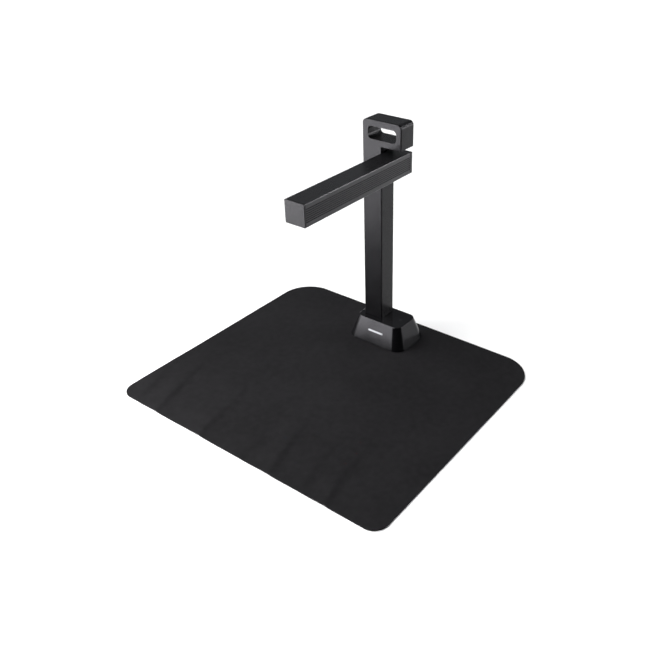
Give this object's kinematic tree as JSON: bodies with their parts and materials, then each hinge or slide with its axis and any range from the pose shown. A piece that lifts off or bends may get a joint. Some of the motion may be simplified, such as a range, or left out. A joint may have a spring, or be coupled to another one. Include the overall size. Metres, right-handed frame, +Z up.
{
  "type": "book scanner",
  "caption": "Overhead book scanner: a camera arm that folds down beside a handled column on a weighted foot, with a soft black mat for the open book.",
  "frame": {"origin": "centre of the mat's underside, on the desk", "axes": "+X to the reader's right along the mat's long side, +Y away from the reader towards the column, +Z up along the column"},
  "size_m": [0.498, 0.438, 0.38],
  "materials": {
    "mat": "matte, fine grain",
    "case": "satin black, fine moulded texture",
    "arm_case": "satin black",
    "steel": "zinc plated",
    "ballast": "black painted",
    "cast": "die cast",
    "bush": "plain bearing bronze",
    "screw": "black oxide",
    "board": "green solder mask",
    "chip": "black moulded",
    "led": "phosphor",
    "diffuser": "frosted white",
    "glass": "coated",
    "lens_glass": "coated",
    "foot_rubber": "matte",
    "badge": "light grey print",
    "light_pipe": "smoked",
    "cable": "jacketed",
    "ribbon": "polyimide",
    "washer": "low-friction polymer"
  },
  "bodies": {
    "stand": {"scan_mat": "mat", "foot_shell": "case", "foot_bottom_plate": "case", "ballast_plate": "ballast", "rubber_feet": "foot_rubber", "foot_plate_screws": "screw", "column_bolts": "screw", "indicator_light_pipe": "light_pipe", "front_badge": "badge", "port_board": "board", "board_standoffs": "steel", "board_screws": "steel", "usb_socket": "steel", "hub_chip": "chip", "harness_connector": "chip", "column_shell": "case", "column_rear_screws": "screw", "column_front_panel": "case", "column_spine": "steel", "spine_plug": "cast", "spine_screws": "steel", "hinge_bracket": "steel", "hinge_bush": "bush", "hinge_stop_pin": "steel", "bracket_screws": "steel", "column_harness": "cable"},
    "arm": {"hinge_shaft": "steel", "hinge_thrust_washer": "washer", "hinge_stop_washer": "steel", "hinge_disc_springs": "steel", "hinge_nut": "steel", "arm_hinge_block": "cast", "arm_shell": "arm_case", "arm_front_cap": "case", "arm_rear_cap": "case", "arm_underside_cover": "case", "arm_cover_screws": "screw", "light_diffusers": "diffuser", "light_boards": "board", "light_chips": "led", "camera_window": "glass", "camera_housing": "chip", "lens_barrel": "chip", "front_lens": "lens_glass", "sensor_board": "board", "image_sensor": "chip", "main_board": "board", "board_chips": "chip", "heat_sink": "cast", "main_board_screws": "steel", "camera_ribbon": "ribbon", "arm_harness": "cable"}
  },
  "joints": [
    {"name": "arm_fold", "type": "hinge", "parent": "stand", "child": "arm", "pos_m": [-0.0079, 0.16015, 0.3165], "axis": [1, 0, 0], "range_deg": [0, 90]}
  ]
}
